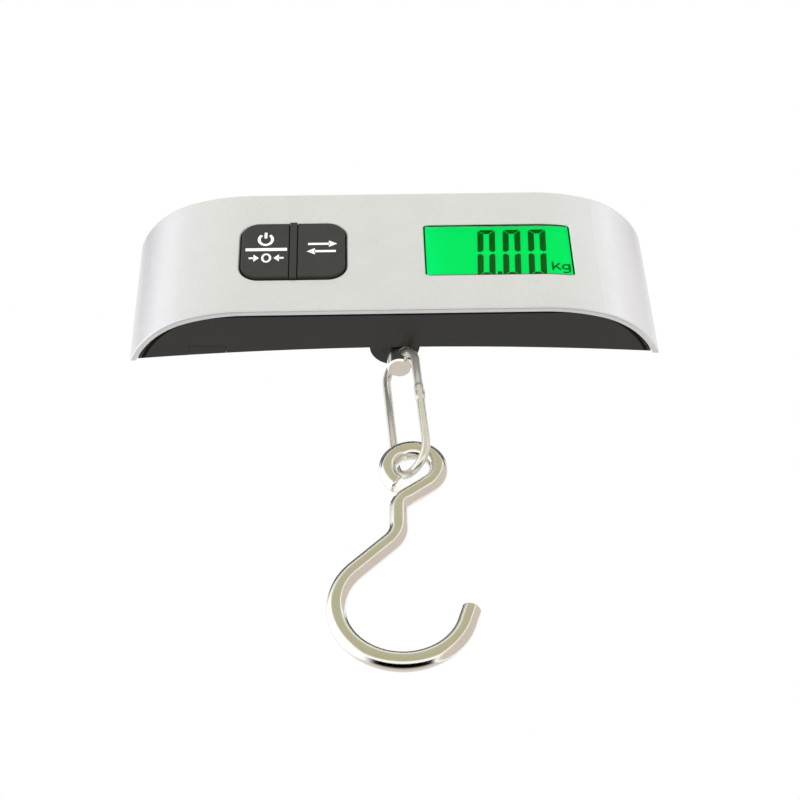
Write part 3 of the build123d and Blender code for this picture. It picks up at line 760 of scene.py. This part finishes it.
# ------------------------------------------------------------- studio, stage
def backdrop():
    """White world.  Shiny parts see a made-up room: dull in front, pale at the sides."""
    world = bpy.data.worlds.new("studio")
    bpy.context.scene.world = world
    world.use_nodes = True
    tree = world.node_tree
    tree.nodes.clear()

    def add(kind, **values):
        made = tree.nodes.new(kind)
        for key, value in values.items():
            setattr(made, key, value)
        return made

    def maths(operation, *sources):
        made = add("ShaderNodeMath", operation=operation)
        for socket, source in zip(made.inputs, sources):
            if isinstance(source, float):
                socket.default_value = source
            else:
                tree.links.new(source, socket)
        return made.outputs[0]

    direction = add("ShaderNodeTexCoord").outputs["Generated"]
    split = add("ShaderNodeSeparateXYZ")
    tree.links.new(direction, split.inputs[0])
    ahead = maths("MULTIPLY", split.outputs["Y"], -1.0)
    height = maths("ARCTAN2", split.outputs["Z"], ahead)
    share = maths("MULTIPLY_ADD", height, 0.5 / math.pi, 0.5)
    band = add("ShaderNodeValToRGB")
    tree.links.new(share, band.inputs["Fac"])
    elements = band.color_ramp.elements
    while len(elements) < len(ROOM):
        elements.new(0.5)
    for element, (degrees, colour) in zip(elements, ROOM):
        element.position = degrees / 360.0 + 0.5
        element.color = (*colour, 1.0)
    across = add("ShaderNodeValToRGB")
    tree.links.new(maths("MULTIPLY_ADD", split.outputs["X"], 0.5, 0.5), across.inputs["Fac"])
    walls = across.color_ramp.elements
    while len(walls) < len(SIDES):
        walls.new(0.5)
    for wall, (x, colour, cover) in zip(walls, SIDES):
        wall.position = x / 2 + 0.5
        wall.color = (*colour, cover)
    room = add("ShaderNodeMix", data_type="RGBA")
    tree.links.new(across.outputs["Alpha"], room.inputs["Factor"])
    tree.links.new(band.outputs["Color"], room.inputs["A"])
    tree.links.new(across.outputs["Color"], room.inputs["B"])
    rays = add("ShaderNodeLightPath")
    seen = add("ShaderNodeMix", data_type="RGBA")
    tree.links.new(rays.outputs["Is Glossy Ray"], seen.inputs["Factor"])
    seen.inputs["A"].default_value = (1.0, 1.0, 1.0, 1.0)
    tree.links.new(room.outputs["Result"], seen.inputs["B"])
    shade = add("ShaderNodeBackground")
    tree.links.new(seen.outputs["Result"], shade.inputs["Color"])
    shade.inputs["Strength"].default_value = 1.0
    out = add("ShaderNodeOutputWorld")
    tree.links.new(shade.outputs[0], out.inputs["Surface"])


# Colours seen by shiny parts, by angle above the horizon in front (-180 to 180,
# where beyond 90 is behind the object).
ROOM = (
    (-180.0, (0.80, 0.76, 0.74)),
    (-140.0, (0.74, 0.69, 0.66)),
    (-122.0, (0.60, 0.53, 0.44)),
    (-104.0, (0.05, 0.05, 0.05)),
    (-98.0, (0.0, 0.0, 0.0)),
    (-60.0, (0.0, 0.0, 0.0)),
    (-54.0, (1.2, 1.2, 1.2)),
    (-38.0, (1.2, 1.2, 1.15)),
    (-24.0, (0.515, 0.49, 0.315)),
    (52.0, (0.53, 0.515, 0.36)),
    (72.0, (1.0, 1.0, 0.98)),
    (92.0, (0.9, 0.9, 0.88)),
    (97.0, (0.02, 0.02, 0.02)),
    (118.0, (0.03, 0.03, 0.03)),
    (124.0, (1.0, 1.0, 1.0)),
)
# The same by how far to the side (-1 left to 1 right), with the share it covers.
SIDES = (
    (-1.0, (1.35, 1.35, 1.35), 1.0),
    (-0.78, (1.35, 1.35, 1.35), 1.0),
    (-0.58, (1.35, 1.35, 1.35), 0.0),
    (0.58, (1.2, 1.2, 1.2), 0.0),
    (0.61, (1.2, 1.2, 1.2), 1.0),
    (0.66, (1.2, 1.2, 1.2), 1.0),
    (0.70, (0.70, 0.62, 0.56), 1.0),
    (1.0, (0.70, 0.62, 0.56), 1.0),
)
backdrop()


def floor():
    size, level = 2.0, -0.46
    mesh = bpy.data.meshes.new("floor")
    corners = [(x, y, level) for x, y in ((-size, -size), (size, -size), (size, size), (-size, size))]
    mesh.from_pydata(corners, [], [(0, 1, 2, 3)])
    look = Look("floor_paper", Roughness=0.9)
    look.feed("Base Color", look.ramp(look.noise(60.0), (0.3, (0.80, 0.80, 0.79)), (0.7, (0.83, 0.83, 0.82))))
    mesh.materials.append(look.material)
    piece = bpy.data.objects.new("floor", mesh)
    bpy.context.scene.collection.objects.link(piece)
    piece.visible_glossy = False


floor()


def soft_light(name, at, size, power, aim=(0.0, 0.0, -0.02)):
    data = bpy.data.lights.new(name, "AREA")
    data.shape = "DISK"
    data.size = size
    data.energy = power
    lamp = bpy.data.objects.new(name, data)
    lamp.location = at
    lamp.rotation_euler = (Vector(aim) - Vector(at)).to_track_quat("-Z", "Y").to_euler()
    lamp.visible_glossy = False
    lamp.visible_camera = False
    bpy.context.scene.collection.objects.link(lamp)
    return lamp


soft_light("key_light", (-0.45, -0.75, 0.55), 0.6, 4.0)
soft_light("fill_light", (0.7, -0.5, 0.2), 0.5, 2.0)

# ------------------------------------------------------------------- camera
PITCH = math.radians(-44.0)
YAW = math.radians(1.6)
ROLL = math.radians(2.0)
OFFSET = Vector((-1.2, 11.1, -437.0)) * MM
CAMERA_REFERENCE_Z = -20.5 * MM
FOCAL = 81.0
SENSOR = 36.0


def camera():
    """Looks up at the scale from below its display side."""
    upright = Matrix(((1, 0, 0), (0, 0, 1), (0, -1, 0)))
    tilt = Matrix.Rotation(ROLL, 3, "Z") @ Matrix.Rotation(PITCH, 3, "X")
    turn = tilt @ Matrix.Rotation(YAW, 3, "Y") @ upright
    data = bpy.data.cameras.new("camera")
    data.lens = FOCAL
    data.sensor_width = SENSOR
    data.clip_start = 0.01
    eye = bpy.data.objects.new("camera", data)
    at = Vector((0.0, 0.0, CAMERA_REFERENCE_Z)) - turn.transposed() @ OFFSET
    eye.matrix_world = Matrix.Translation(at) @ turn.transposed().to_4x4()
    bpy.context.scene.collection.objects.link(eye)
    bpy.context.scene.camera = eye


camera()
bpy.context.scene.view_settings.view_transform = "Standard"
